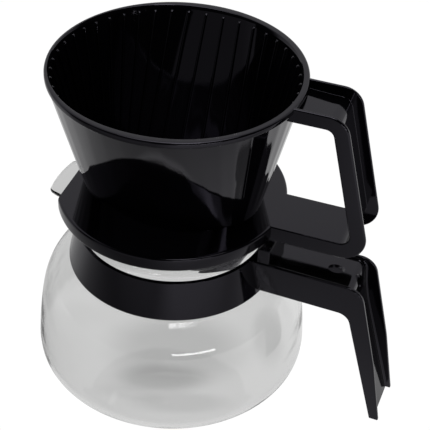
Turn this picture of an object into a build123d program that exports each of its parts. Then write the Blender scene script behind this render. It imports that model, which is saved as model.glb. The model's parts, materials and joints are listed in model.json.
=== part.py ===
from build123d import *
import math, os

os.makedirs("parts", exist_ok=True)

# ---------------------------------------------------------------- dimensions
# carafe glass
BASE_R = 64.0          # flat resting face
GLASS_T = 2.2          # wall
BASE_T = 3.0           # floor thickness
RIM_Z = 108.9          # top of the glass rim
# glass outside profile (radius, height), foot to shoulder
BODY = [(64.0, 0.0), (67.8, 0.9), (71.4, 3.3), (74.0, 7.2), (75.2, 12.5), (75.0, 18.5),
        (74.0, 26.0), (73.1, 34.0), (72.0, 41.5), (70.3, 48.5), (67.7, 54.8), (64.2, 60.0),
        (60.2, 63.6), (56.4, 66.0), (54.3, 67.3)]
NECK = [(54.3, 67.3), (53.6, 69.0), (53.1, 71.6), (52.3, 75.5), (51.3, 80.0), (50.35, 84.2),
        (49.3, 88.3), (49.2, 91.6), (50.2, 95.2), (52.1, 99.4), (54.5, 103.4), (56.4, 106.6),
        (57.1, RIM_Z)]
# pouring spout, opposite the handle: (height, tip x, half length x, half width y)
SPOUT = [(84.0, -46.8, 12.0, 12.0), (89.4, -49.3, 14.0, 14.5), (92.6, -58.0, 20.0, 17.5),
         (97.0, -68.6, 26.5, 20.5), (104.0, -82.0, 36.0, 26.0)]
SPOUT_TIP_Z = 97.0     # lip drops to here at the tip
LIP_X0 = -45.5         # the lip starts to drop here
# collar band
COL_Z0, COL_Z1 = 67.9, 89.2
COL_R0, COL_R1 = 56.5, 51.6
COL_T = 2.0
LUG_X = 63.0
LUG_GAP = 1.2          # half of the split in the band
LUG_T = 3.6
SCREW_X, SCREW_Z = 59.2, 77.4
SCREW_R = 2.0
# carafe handle
ARM_W = 14.3           # half width over the rails
RAIL_T = 2.0
ARM_TOP, ARM_BOT = 88.0, 69.7
# handle outlines as (x, z, corner radius)
ARM_LINE = [(46.0, 88.0, 0), (109.1, 88.0, 10.0), (121.3, 38.5, 90.0), (128.5, 1.6, 0.8),
            (123.2, 1.6, 0.8), (103.4, 69.7, 7.0), (46.0, 69.7, 0)]
WEB_T = 2.2
WEB_TOP = 86.0
WEB_LINE = [(46.0, 86.0, 0), (104.3, 86.0, 4.5), (105.5, 73.5, 40.0), (107.4, 63.4, 60.0), (125.4, 1.6, 0),
            (123.2, 1.6, 0), (105.2, 63.4, 60.0), (103.3, 73.5, 40.0), (102.1, 83.8, 2.4), (46.0, 83.8, 0)]
HOLE_R = 4.0
HOLE1_X = 91.4
HOLE2_Z = 81.6
# filter cone
CONE_TURN = 2.2        # the cone sits turned by this much on the carafe, degrees
FL_Z = 112.0           # top of the flange
FL_T = 2.4
FL_R0 = 60.5           # flange edge at the top
FL_R1 = 60.4           # skirt edge at the bottom
FL_Z1 = 104.7          # skirt bottom
SKIRT_T = 1.4
FL_X, FL_Y = -1.2, 0.3  # centre of the flange and skirt
BODY_X = -0.85         # centre of the slot-shaped body
CHORD_X = -52.0        # flat cut for the spout
CONE_H = 73.2          # flange to rim
RIM_R = 65.0
WALL = 2.2
C_TOP, R_TOP = 2.0, 62.8      # slot-shaped section: centre distance and end radius
C_FL, R_FL = 18.0, 30.0
CONE_BOT_Z = 72.0
DRIP_R = 2.6
RIB_N = 44
# cone handle
LOOP_W = 15.05
LOOP_Y = 0.75          # centre of the loop across
LOOP_T = 2.0
LOOP_OUT = [(58.0, 185.1, 0), (89.2, 185.1, 11.0), (109.5, 103.1, 12.5), (58.0, 103.1, 0)]
LOOP_IN = [(50.0, 177.5, 0), (82.9, 177.5, 4.5), (98.9, 112.0, 5.0), (50.0, 112.0, 0)]
CLR = 0.3


def offset_in(pts, t):
    out = []
    for i, (r, z) in enumerate(pts):
        a = pts[max(i - 1, 0)]
        b = pts[min(i + 1, len(pts) - 1)]
        dr, dz = b[0] - a[0], b[1] - a[1]
        n = math.hypot(dr, dz)
        out.append((r - t * dz / n, z + t * dr / n))
    return out


def v(p):
    return Vector(p[0], 0, p[1])


def outline(pts, y):
    """closed face in the plane y, from (x, z, corner radius) points"""
    n = len(pts)
    ends = []
    for i in range(n):
        px, pz, r = pts[i]
        ax, az, _ = pts[i - 1]
        bx, bz, _ = pts[(i + 1) % n]
        if r <= 0:
            ends.append(((px, pz), None, (px, pz)))
            continue
        ua, ub = (ax - px, az - pz), (bx - px, bz - pz)
        la, lb = math.hypot(*ua), math.hypot(*ub)
        ua, ub = (ua[0] / la, ua[1] / la), (ub[0] / lb, ub[1] / lb)
        half = math.acos(max(-1.0, min(1.0, ua[0] * ub[0] + ua[1] * ub[1]))) / 2
        t = r / math.tan(half)
        s = (px + ua[0] * t, pz + ua[1] * t)
        e = (px + ub[0] * t, pz + ub[1] * t)
        m = (ua[0] + ub[0], ua[1] + ub[1])
        lm = math.hypot(*m)
        far = r / math.sin(half) - r
        ends.append((s, (px + m[0] / lm * far, pz + m[1] / lm * far), e))
    edges = []
    for i in range(n):
        s, m, e = ends[i]
        if m:
            edges.append(ThreePointArc((s[0], y, s[1]), (m[0], y, m[1]), (e[0], y, e[1])))
        nx = ends[(i + 1) % n][0]
        if math.hypot(nx[0] - e[0], nx[1] - e[1]) > 1e-6:
            edges.append(Line((e[0], y, e[1]), (nx[0], y, nx[1])))
    return Face(Wire(edges))


def soft_edges(solid, y, r):
    """round the outline edges that lie in the plane y"""
    es = [e for e in solid.edges() if all(abs(p.Y - y) < 1e-5 for p in (e @ 0, e @ 0.5, e @ 1))]
    return fillet(es, r)


# ---------------------------------------------------------------- glass carafe
body_in = offset_in(BODY, GLASS_T)
neck_in = offset_in(NECK, GLASS_T)
# floor corner is thicker than the wall
inner = [(57.0, BASE_T), (63.0, 3.4), (67.6, 5.4), (70.9, 8.8), (72.6, 13.4)] + body_in[5:-1]
inner_neck = [body_in[-2]] + neck_in[1:-1]


def revolve_profile(edges):
    f = Face(Wire(edges))
    return revolve(f, axis=Axis.Z)


outer_edges = [
    Line((0, 0, 0), v(BODY[0])),
    Spline(*[v(p) for p in BODY]),
    Spline(*[v(p) for p in NECK]),
    Line(v(NECK[-1]), (0, 0, RIM_Z)),
    Line((0, 0, RIM_Z), (0, 0, 0)),
]
glass_out = revolve_profile(outer_edges)
top_in = (NECK[-1][0] - GLASS_T, RIM_Z + 4)
inner_edges = [
    Line((0, 0, BASE_T), v(inner[0])),
    Spline(*[v(p) for p in inner]),
    Spline(*[v(p) for p in inner_neck + [(54.85, RIM_Z)]]),
    Line((54.85, 0, RIM_Z), (54.95, 0, RIM_Z + 4)),
    Line((54.95, 0, RIM_Z + 4), (0, 0, RIM_Z + 4)),
    Line((0, 0, RIM_Z + 4), (0, 0, BASE_T)),
]
glass_in = revolve_profile(inner_edges)


def spout_body(inset, z_lo, z_hi):
    secs = []
    for z, tip, sx, sy in SPOUT:
        zz = min(max(z, z_lo), z_hi)
        e = Ellipse(sx - inset, sy - inset)
        secs.append(Pos(tip + sx, 0, z) * e)
    return loft(secs)


cut_len = 60
drop = math.atan2(RIM_Z - SPOUT_TIP_Z, 68.6 + LIP_X0)
lid = Pos(LIP_X0, 0, RIM_Z) * Rot(0, -math.degrees(drop), 0) * Pos(-cut_len / 2 + 3, 0, 20) * Box(cut_len + 6, 90, 40)
top_cut = Pos(0, 0, RIM_Z + 20) * Box(220, 220, 40)
spout_o = spout_body(0.0, 0, 200) - lid - top_cut
spout_i = spout_body(GLASS_T, 0, 200)
glass = (glass_out + spout_o) - lid - glass_in - spout_i
glass_carafe = glass

# ---------------------------------------------------------------- collar band
k = (COL_R1 - COL_R0) / (COL_Z1 - COL_Z0)
ring = revolve_profile([
    Line((COL_R0 - COL_T, 0, COL_Z0), (COL_R0 - 0.4, 0, COL_Z0)),
    Line((COL_R0 - 0.4, 0, COL_Z0), (COL_R0 + k * 0.4, 0, COL_Z0 + 0.4)),
    Line((COL_R0 + k * 0.4, 0, COL_Z0 + 0.4), (COL_R1 - k * 0.5, 0, COL_Z1 - 0.5)),
    Line((COL_R1 - k * 0.5, 0, COL_Z1 - 0.5), (COL_R1 - 0.5, 0, COL_Z1)),
    Line((COL_R1 - 0.5, 0, COL_Z1), (COL_R1 - COL_T, 0, COL_Z1)),
    Line((COL_R1 - COL_T, 0, COL_Z1), (COL_R0 - COL_T, 0, COL_Z0)),
])


def cone_solid(dr, z0, z1):
    """solid cone that follows the outside of the band, dr outside it"""
    ra = COL_R0 + k * (z0 - COL_Z0) + dr
    rb = COL_R0 + k * (z1 - COL_Z0) + dr
    return revolve_profile([Line((0, 0, z0), (ra, 0, z0)), Line((ra, 0, z0), (rb, 0, z1)),
                            Line((rb, 0, z1), (0, 0, z1)), Line((0, 0, z1), (0, 0, z0))])


bore = cone_solid(-COL_T, COL_Z0 - 8, COL_Z1 + 12)
lug_a = Pos((50 + LUG_X) / 2, LUG_GAP + LUG_T / 2, 76.9) * Box(LUG_X - 50, LUG_T, 12.4)
lug_b = Pos((50 + LUG_X) / 2, -LUG_GAP - LUG_T / 2, 76.9) * Box(LUG_X - 50, LUG_T, 12.4)
split = Pos(60, 0, 78) * Box(30, 2 * LUG_GAP, 40)
screw_hole = Pos(SCREW_X, 0, SCREW_Z) * Rot(90, 0, 0) * Cylinder(SCREW_R + 0.2, 22)
collar_band = (ring + (lug_a - bore) + (lug_b - bore)) - split - screw_hole

# ---------------------------------------------------------------- carafe handle
keep_out = cone_solid(CLR, COL_Z0 - 12, COL_Z1) + Pos(0, 0, COL_Z1) * Cylinder(54.2, 12, align=(Align.CENTER, Align.CENTER, Align.MIN))
rail_n = soft_edges(extrude(outline(ARM_LINE, -ARM_W), amount=RAIL_T, dir=(0, 1, 0)), -ARM_W, 0.6)
rail_p = soft_edges(extrude(outline(ARM_LINE, ARM_W), amount=RAIL_T, dir=(0, -1, 0)), ARM_W, 0.6)
web = extrude(outline(WEB_LINE, -ARM_W + 1), amount=2 * ARM_W - 2, dir=(0, 1, 0))
root = Pos(54.5, 0, 90.2) * Box(9.0, 2 * ARM_W - 1.6, 13.4)          # raised block behind the band, over the web
ear_a = Pos(57.5, LUG_GAP + LUG_T + 0.3 + 1.1, 77.2) * Box(13.0, 2.2, 14.6)
ear_b = Pos(57.5, -(LUG_GAP + LUG_T + 0.3 + 1.1), 77.2) * Box(13.0, 2.2, 14.6)
handle = rail_n + rail_p + web + root + ear_a + ear_b
handle = handle - keep_out - screw_hole
handle -= Pos(HOLE1_X, 0, WEB_TOP - 1) * Cylinder(HOLE_R, 12)
handle -= Pos(104, 0, HOLE2_Z) * Rot(0, 90, 0) * Cylinder(HOLE_R, 14)
carafe_handle = handle

# ---------------------------------------------------------------- clamp screw and nut
ear_y = LUG_GAP + LUG_T + 0.3 + 2.2
shank = Pos(SCREW_X, 0, SCREW_Z) * Rot(90, 0, 0) * Cylinder(SCREW_R, 2 * ear_y + 5.6)
head = Pos(SCREW_X, -ear_y - 0.05 - 1.1, SCREW_Z) * Rot(90, 0, 0) * Cylinder(3.6, 2.2)
slot_cut = Pos(SCREW_X, -ear_y - 2.25, SCREW_Z) * Box(1.0, 1.2, 8)
clamp_screw = shank + fillet(head.edges().filter_by(GeomType.CIRCLE).group_by(Axis.Y)[0], 0.6) - slot_cut
clamp_screw = clamp_screw - Pos(SCREW_X, -ear_y - 2.25 - 1.6, SCREW_Z) * Rot(90, 0, 0) * Cylinder(SCREW_R + 0.5, 3.2)
nut_blank = Pos(SCREW_X, ear_y + 0.05, SCREW_Z) * Rot(-90, 0, 0) * extrude(RegularPolygon(4.0, 6), amount=2.4)
clamp_nut = nut_blank - Pos(SCREW_X, 0, SCREW_Z) * Rot(90, 0, 0) * Cylinder(SCREW_R + 0.03, 60)


# ---------------------------------------------------------------- filter cone
def sec_at(z):
    t = (z - FL_Z) / CONE_H
    return C_FL + (C_TOP - C_FL) * t, R_FL + (R_TOP - R_FL) * t


def slot_wire(c, r, z):
    e1 = Line((-c, -r, z), (c, -r, z))
    e2 = ThreePointArc((c, -r, z), (c + r, 0, z), (c, r, z))
    e3 = Line((c, r, z), (-c, r, z))
    e4 = ThreePointArc((-c, r, z), (-c - r, 0, z), (-c, -r, z))
    return Wire([e1, e2, e3, e4])


def slot_loft(z0, z1, dr):
    c0, r0 = sec_at(z0)
    c1, r1 = sec_at(z1)
    return Solid.make_loft([slot_wire(c0, r0 + dr, z0), slot_wire(c1, r1 + dr, z1)], ruled=True)


tilt = math.hypot(1, (R_TOP - R_FL) / CONE_H)
inset = WALL * tilt
Z_RIM = FL_Z + CONE_H
outer_body = Pos(BODY_X, 0, 0) * slot_loft(CONE_BOT_Z, Z_RIM - 2.9, 0.0)
inner_body = Pos(BODY_X, 0, 0) * slot_loft(CONE_BOT_Z + 2.6, Z_RIM + 3.0, -inset)
bead = Pos(0, 0, Z_RIM - 3.0) * Cylinder(RIM_R, 3.0, align=(Align.CENTER, Align.CENTER, Align.MIN))
bead = fillet(bead.edges().filter_by(GeomType.CIRCLE), 1.2)
flange = Pos(FL_X, FL_Y, FL_Z - FL_T) * Cylinder(FL_R0, FL_T, align=(Align.CENTER, Align.CENTER, Align.MIN))
skirt = Pos(FL_X, FL_Y, 0) * revolve_profile([
    Line((FL_R0 - 6, 0, FL_Z), (FL_R0 - 0.6, 0, FL_Z)),
    Line((FL_R0 - 0.6, 0, FL_Z), (FL_R0, 0, FL_Z - 0.6)),
    Line((FL_R0, 0, FL_Z - 0.6), (FL_R1, 0, FL_Z1 + 0.4)),
    Line((FL_R1, 0, FL_Z1 + 0.4), (FL_R1 - 0.4, 0, FL_Z1)),
    Line((FL_R1 - 0.4, 0, FL_Z1), (FL_R1 - SKIRT_T, 0, FL_Z1)),
    Line((FL_R1 - SKIRT_T, 0, FL_Z1), (FL_R0 - SKIRT_T - 0.1, 0, FL_Z - FL_T)),
    Line((FL_R0 - SKIRT_T - 0.1, 0, FL_Z - FL_T), (FL_R0 - 6, 0, FL_Z - FL_T)),
    Line((FL_R0 - 6, 0, FL_Z - FL_T), (FL_R0 - 6, 0, FL_Z)),
])


block_o = extrude(outline(LOOP_OUT, -LOOP_W), amount=2 * LOOP_W, dir=(0, 1, 0))
block_o = soft_edges(block_o, -LOOP_W, 0.7)
block_o = soft_edges(block_o, LOOP_W, 0.7)
gap_cut = extrude(outline(LOOP_IN, -LOOP_W - 1), amount=2 * LOOP_W + 2, dir=(0, 1, 0))
# same line pushed out by the web thickness, open to the outside between the rails
web_line = [(40.0, 177.5 + WEB_T, 0), (82.9 + WEB_T * 0.785, 177.5 + WEB_T, 4.5 + WEB_T),
            (98.9 + WEB_T * 1.277, 112.0 - WEB_T, 5.0 + WEB_T), (40.0, 112.0 - WEB_T, 0)]
web_keep = extrude(outline(web_line, -LOOP_W + LOOP_T), amount=2 * LOOP_W - 2 * LOOP_T, dir=(0, 1, 0))
channel_blank = extrude(outline([(58.0, 190.0, 0), (120.0, 190.0, 0), (120.0, 95.0, 0), (58.0, 95.0, 0)], -LOOP_W + LOOP_T),
                        amount=2 * LOOP_W - 2 * LOOP_T, dir=(0, 1, 0))
loop = Pos(0, LOOP_Y, 0) * (block_o - gap_cut - (channel_blank - web_keep))

cone = outer_body + bead + flange + skirt
# flat cut for the spout
cone = cone - Pos(CHORD_X - 20, 0, FL_Z - 5) * Box(40, 140, 16)
body_keep = Pos(BODY_X, 0, 0) * slot_loft(CONE_BOT_Z, Z_RIM - 2.9, 0.0)
cone = cone + loop + body_keep
cone = cone - inner_body
cone = cone - Pos(BODY_X, 0, CONE_BOT_Z - 2) * Cylinder(DRIP_R, 8, align=(Align.CENTER, Align.CENTER, Align.MIN))
print("cone body", len(cone.solids()), cone.volume)

# ribs on the inside, one along each line of the wall
ribs = []
z_top, z_bot = Z_RIM - 8.0, CONE_BOT_Z + 6.0
for i in range(RIB_N):
    a = 2 * math.pi * (i + 0.5) / RIB_N

    def wall_pt(z, dr):
        c, r = sec_at(z)
        r = r - inset + dr
        ca, sa = math.cos(a), math.sin(a)
        cx = c if ca >= 0 else -c
        return Vector(BODY_X + cx + r * ca, r * sa, z)
    p0, p1 = wall_pt(z_bot, 0.6), wall_pt(z_top, 0.6)
    d = (p1 - p0)
    L = d.length
    d = d.normalized()
    nrm = Vector(-math.cos(a), -math.sin(a), 0)
    nrm = (nrm - d * nrm.dot(d)).normalized()
    pl = Plane(origin=(p0.X, p0.Y, p0.Z), x_dir=(nrm.X, nrm.Y, nrm.Z), z_dir=(d.X, d.Y, d.Z))
    h = 1.7
    b = pl * (Pos(h / 2, 0, 0) * Box(h, 0.9, L, align=(Align.CENTER, Align.CENTER, Align.MIN)))
    ribs.append(b)
cone = cone.fuse(*ribs)
if isinstance(cone, list):
    cone = Compound(cone)
print("cone ribs", len(cone.solids()), cone.volume)

filter_cone = Rot(0, 0, CONE_TURN) * cone

for name, shape in (("glass_carafe", glass_carafe), ("collar_band", collar_band), ("carafe_handle", carafe_handle),
                    ("clamp_screw", clamp_screw), ("clamp_nut", clamp_nut), ("filter_cone", filter_cone)):
    s = shape.solids()
    print(name, "solids", len(s), "vol %.0f" % shape.volume, "valid", shape.is_valid, shape.bounding_box())
    export_step(shape, "parts/%s.step" % name)
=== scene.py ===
import bpy, bmesh, math, json
import numpy as np
from mathutils import Matrix, Vector


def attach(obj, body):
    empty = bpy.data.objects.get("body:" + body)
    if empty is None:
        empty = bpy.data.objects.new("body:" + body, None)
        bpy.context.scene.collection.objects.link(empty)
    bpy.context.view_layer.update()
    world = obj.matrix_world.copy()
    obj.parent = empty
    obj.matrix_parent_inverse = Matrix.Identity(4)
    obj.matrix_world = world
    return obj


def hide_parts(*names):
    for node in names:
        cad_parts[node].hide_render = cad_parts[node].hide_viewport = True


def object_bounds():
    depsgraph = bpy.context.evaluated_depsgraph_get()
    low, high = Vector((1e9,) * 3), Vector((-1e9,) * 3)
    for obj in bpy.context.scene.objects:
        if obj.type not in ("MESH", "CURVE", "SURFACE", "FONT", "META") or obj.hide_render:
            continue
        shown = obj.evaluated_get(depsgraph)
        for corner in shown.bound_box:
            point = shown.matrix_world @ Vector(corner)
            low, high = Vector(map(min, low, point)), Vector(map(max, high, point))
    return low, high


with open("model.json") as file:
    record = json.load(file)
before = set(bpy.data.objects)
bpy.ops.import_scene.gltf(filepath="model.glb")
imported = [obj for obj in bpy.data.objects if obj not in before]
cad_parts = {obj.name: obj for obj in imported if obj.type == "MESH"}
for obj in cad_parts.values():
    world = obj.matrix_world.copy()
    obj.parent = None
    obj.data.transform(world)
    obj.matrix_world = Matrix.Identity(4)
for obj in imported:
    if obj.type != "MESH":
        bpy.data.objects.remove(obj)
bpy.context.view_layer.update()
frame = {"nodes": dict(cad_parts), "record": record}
CAD_X1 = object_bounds()[1][0]
MM = 0.001

# ------------------------------------------------------------------ sizes, in mm, as in the CAD
GLASS_T = 2.2
BODY = [(64.0, 0.0), (68.1, 0.9), (71.7, 3.3), (74.1, 7.2), (74.9, 12.5), (74.6, 18.5),
        (74.0, 26.0), (73.1, 34.0), (72.0, 41.5), (70.3, 48.5), (67.7, 54.8), (64.2, 60.0),
        (60.2, 63.6), (56.4, 66.0), (54.3, 67.3)]
NECK = [(53.6, 69.0), (53.1, 71.6), (52.3, 75.5), (51.3, 80.0), (50.35, 84.2),
        (49.3, 88.3), (49.2, 91.6), (50.2, 95.2), (52.1, 99.4), (54.5, 103.4), (56.2, 106.3)]
COL_Z0, COL_Z1, COL_R0, COL_R1, COL_T = 67.9, 89.2, 56.5, 51.6, 2.0
ARM_W, RAIL_T = 14.3, 2.0
ARM_LINE = [(46.0, 88.0, 0), (109.1, 88.0, 10.0), (121.3, 38.5, 90.0), (128.5, 0.3, 0.6),
            (123.3, 0.3, 0.6), (103.4, 69.7, 7.0), (46.0, 69.7, 0)]
WEB_LINE = [(46.0, 86.0, 0), (104.3, 86.0, 4.5), (105.5, 73.5, 40.0), (107.4, 63.4, 60.0), (125.7, 0.4, 0),
            (123.5, 0.4, 0), (105.2, 63.4, 60.0), (103.3, 73.5, 40.0), (102.1, 83.8, 2.4), (46.0, 83.8, 0)]
HOLE_R, HOLE1_X, HOLE2_Z = 4.0, 91.4, 81.6
CONE_TURN = 2.2
FL_Z, FL_T, FL_R0, FL_R1, FL_Z1, CHORD_X = 112.0, 2.4, 60.5, 60.4, 104.7, -52.0
FL_X, FL_Y, BODY_X, LOOP_Y = -1.2, 0.3, -0.85, 0.75
CONE_H, RIM_R, WALL = 73.2, 65.0, 2.2
C_TOP, R_TOP, C_FL, R_FL, CONE_BOT_Z, DRIP_R, RIB_N = 2.0, 62.8, 18.0, 30.0, 72.0, 2.6, 44
LOOP_W, LOOP_T = 15.05, 2.0
LOOP_OUT = [(58.0, 185.1, 0), (89.2, 185.1, 11.0), (109.5, 103.1, 12.5), (58.0, 103.1, 0)]
LOOP_IN = [(50.0, 177.5, 0), (82.9, 177.5, 4.5), (98.9, 112.0, 5.0), (50.0, 112.0, 0)]
LOOP_WEB = [(54.0, 179.7, 0), (84.63, 179.7, 6.7), (101.71, 109.8, 7.2), (54.0, 109.8, 0)]
Z_RIM = FL_Z + CONE_H


# ------------------------------------------------------------------ mesh helpers
def make(name, verts, faces, smooth=True):
    me = bpy.data.meshes.new(name)
    me.from_pydata([tuple(float(c) * MM for c in p) for p in verts], [], faces)
    me.update()
    ob = bpy.data.objects.new(name, me)
    bpy.context.scene.collection.objects.link(ob)
    bm = bmesh.new()
    bm.from_mesh(me)
    bmesh.ops.remove_doubles(bm, verts=bm.verts, dist=1e-7)
    bmesh.ops.recalc_face_normals(bm, faces=bm.faces)
    bm.to_mesh(me)
    bm.free()
    if smooth:
        me.shade_smooth()
    return ob


def even_normals(ob, sharp_deg=None):
    """flat faces stay flat and only the rounded edges turn the light"""
    if sharp_deg is not None:
        bm = bmesh.new()
        bm.from_mesh(ob.data)
        lim = math.radians(sharp_deg)
        for e in bm.edges:
            if len(e.link_faces) == 2 and e.calc_face_angle(0.0) > lim:
                e.smooth = False
        bm.to_mesh(ob.data)
        bm.free()
    m = ob.modifiers.new("even", "WEIGHTED_NORMAL")
    m.mode = "FACE_AREA"
    m.weight = 100
    m.keep_sharp = True


def spline(pts, n):
    """centripetal Catmull-Rom curve through pts, n steps a span"""
    P = [np.array(p, float) for p in pts]
    P = [2 * P[0] - P[1]] + P + [2 * P[-1] - P[-2]]
    out = []
    for i in range(1, len(P) - 2):
        p0, p1, p2, p3 = P[i - 1:i + 3]
        t0 = 0.0
        t1 = t0 + np.linalg.norm(p1 - p0) ** 0.5
        t2 = t1 + np.linalg.norm(p2 - p1) ** 0.5
        t3 = t2 + np.linalg.norm(p3 - p2) ** 0.5
        for k in range(n):
            t = t1 + (t2 - t1) * k / n
            a1 = (t1 - t) / (t1 - t0) * p0 + (t - t0) / (t1 - t0) * p1
            a2 = (t2 - t) / (t2 - t1) * p1 + (t - t1) / (t2 - t1) * p2
            a3 = (t3 - t) / (t3 - t2) * p2 + (t - t2) / (t3 - t2) * p3
            b1 = (t2 - t) / (t2 - t0) * a1 + (t - t0) / (t2 - t0) * a2
            b2 = (t3 - t) / (t3 - t1) * a2 + (t - t1) / (t3 - t1) * a3
            out.append((t2 - t) / (t2 - t1) * b1 + (t - t1) / (t2 - t1) * b2)
    out.append(P[-2])
    return out


def offset_in(pts, t):
    out = []
    for i, (r, z) in enumerate(pts):
        a, b = pts[max(i - 1, 0)], pts[min(i + 1, len(pts) - 1)]
        dr, dz = b[0] - a[0], b[1] - a[1]
        n = math.hypot(dr, dz)
        out.append((r - t * dz / n, z + t * dr / n))
    return out


def corner_path(pts, n_line, n_arc, closed=False):
    """polyline with rounded corners from (x, z, radius), always the same number of points a corner"""
    m = len(pts)
    segs = []
    for i in range(m):
        px, pz, r = pts[i]
        if not closed and i in (0, m - 1):
            segs.append([(px, pz)])
            continue
        ax, az, _ = pts[i - 1]
        bx, bz, _ = pts[(i + 1) % m]
        if r <= 0:
            segs.append([(px, pz)])
            continue
        ua = np.array([ax - px, az - pz]); ua /= np.linalg.norm(ua)
        ub = np.array([bx - px, bz - pz]); ub /= np.linalg.norm(ub)
        half = math.acos(max(-1, min(1, float(ua @ ub)))) / 2
        mid = (ua + ub) / np.linalg.norm(ua + ub)
        c = np.array([px, pz]) + mid * (r / math.sin(half))
        s = np.array([px, pz]) + ua * (r / math.tan(half)) - c
        e = np.array([px, pz]) + ub * (r / math.tan(half)) - c
        a0 = math.atan2(s[1], s[0])
        da = math.atan2(s[0] * e[1] - s[1] * e[0], float(s @ e))
        segs.append([tuple(c + r * np.array([math.cos(a0 + da * k / n_arc), math.sin(a0 + da * k / n_arc)])) for k in range(n_arc + 1)])
    out = []
    for i in range(m):
        out += segs[i]
        if i < m - 1 or closed:
            a, b = segs[i][-1], segs[(i + 1) % m][0]
            for k in range(1, n_line):
                out.append((a[0] + (b[0] - a[0]) * k / n_line, a[1] + (b[1] - a[1]) * k / n_line))
    return out


def lathe(name, prof, seg, shape=None, closed_profile=False):
    """turn (r, z) points round the axis; shape(r, z, angle) may move a point"""
    verts, faces, rows = [], [], []
    for r, z in prof:
        if r < 1e-6:
            rows.append([len(verts)])
            verts.append((0, 0, z))
            continue
        row = []
        for k in range(seg):
            a = 2 * math.pi * k / seg
            rr, zz = (r, z) if shape is None else shape(r, z, a)
            row.append(len(verts))
            verts.append((rr * math.cos(a), rr * math.sin(a), zz))
        rows.append(row)
    pairs = list(zip(rows[:-1], rows[1:]))
    if closed_profile:
        pairs.append((rows[-1], rows[0]))
    for a, b in pairs:
        for k in range(seg):
            j = (k + 1) % seg
            if len(a) == 1 and len(b) == 1:
                continue
            if len(a) == 1:
                faces.append((a[0], b[k], b[j]))
            elif len(b) == 1:
                faces.append((a[k], b[0], a[j]))
            else:
                faces.append((a[k], b[k], b[j], a[j]))
    return make(name, verts, faces)


def fillet2(p, a, b, r, n=4):
    """points of a round of radius r at corner p between neighbours a and b"""
    p, a, b = np.array(p, float), np.array(a, float), np.array(b, float)
    ua = (a - p) / np.linalg.norm(a - p)
    ub = (b - p) / np.linalg.norm(b - p)
    half = math.acos(max(-1, min(1, float(ua @ ub)))) / 2
    mid = (ua + ub) / np.linalg.norm(ua + ub)
    c = p + mid * (r / math.sin(half))
    s = p + ua * (r / math.tan(half)) - c
    e = p + ub * (r / math.tan(half)) - c
    a0 = math.atan2(s[1], s[0])
    da = math.atan2(s[0] * e[1] - s[1] * e[0], float(s @ e))
    return [tuple(c + r * np.array([math.cos(a0 + da * k / n), math.sin(a0 + da * k / n)])) for k in range(n + 1)]


def rounded(poly, radii, n=4):
    out = []
    m = len(poly)
    for i in range(m):
        if radii[i] <= 0:
            out.append(tuple(poly[i]))
        else:
            out += fillet2(poly[i], poly[i - 1], poly[(i + 1) % m], radii[i], n)
    return out


def slab(name, loop, y0, y1, r0, r1, n=4):
    """closed (x, z) outline made into a plate from y0 to y1, its two edges rounded by r0 and r1"""
    P = np.array(loop, float)
    m = len(P)
    if 0.5 * np.sum(P[:, 0] * np.roll(P[:, 1], -1) - np.roll(P[:, 0], -1) * P[:, 1]) < 0:
        P = P[::-1]
    d0 = P - np.roll(P, 1, 0)
    d1 = np.roll(P, -1, 0) - P
    d0 /= np.linalg.norm(d0, axis=1)[:, None] + 1e-12
    d1 /= np.linalg.norm(d1, axis=1)[:, None] + 1e-12
    n0 = np.stack([-d0[:, 1], d0[:, 0]], 1)
    n1 = np.stack([-d1[:, 1], d1[:, 0]], 1)
    nn = n0 + n1
    nn /= np.linalg.norm(nn, axis=1)[:, None]
    nn /= np.maximum(0.4, np.sum(nn * n0, axis=1))[:, None]      # inwards, mitred
    rings = []
    s = 1 if y1 > y0 else -1
    for k in range(n + 1):
        t = math.pi / 2 * k / n
        if r0 <= 0 and k:
            break
        rings.append((y0 + s * r0 * (1 - math.sin(t)), r0 * (1 - math.cos(t))) if r0 > 0 else (y0, 0.0))
    first = [(y0 + s * r0 * (1 - math.cos(math.pi / 2 * k / n)), r0 * (1 - math.sin(math.pi / 2 * k / n))) for k in range(n + 1)] if r0 > 0 else [(y0, 0.0)]
    last = [(y1 - s * r1 * (1 - math.cos(math.pi / 2 * k / n)), r1 * (1 - math.sin(math.pi / 2 * k / n))) for k in range(n, -1, -1)] if r1 > 0 else [(y1, 0.0)]
    rings = first + last
    verts, faces = [], []
    for y, ins in rings:
        Q = P + nn * ins
        for q in Q:
            verts.append((q[0], y, q[1]))
    for i in range(len(rings) - 1):
        for k in range(m):
            j = (k + 1) % m
            faces.append((i * m + k, i * m + j, (i + 1) * m + j, (i + 1) * m + k))
    faces.append(tuple(range(m)))
    faces.append(tuple((len(rings) - 1) * m + k for k in range(m)))
    return make(name, verts, faces)


def soft_box(name, lo, hi, r, seg=3):
    bm = bmesh.new()
    bmesh.ops.create_cube(bm, size=1.0)
    for v in bm.verts:
        v.co = Vector([(lo[i] + hi[i]) / 2 * MM + v.co[i] * (hi[i] - lo[i]) * MM for i in range(3)])
    bmesh.ops.bevel(bm, geom=list(bm.edges), offset=r * MM, segments=seg, profile=0.5, affect="EDGES")
    me = bpy.data.meshes.new(name)
    bm.to_mesh(me)
    bm.free()
    me.shade_smooth()
    ob = bpy.data.objects.new(name, me)
    bpy.context.scene.collection.objects.link(ob)
    return ob


def join(name, obs):
    """several meshes into one piece"""
    bm = bmesh.new()
    for o in obs:
        dg = bpy.context.evaluated_depsgraph_get()
        me = bpy.data.meshes.new_from_object(o.evaluated_get(dg))
        bm.from_mesh(me)
        bpy.data.meshes.remove(me)
    me = bpy.data.meshes.new(name)
    bm.to_mesh(me)
    bm.free()
    ob = bpy.data.objects.new(name, me)
    bpy.context.scene.collection.objects.link(ob)
    for o in obs:
        bpy.data.objects.remove(o)
    me.shade_smooth()
    return ob


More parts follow.
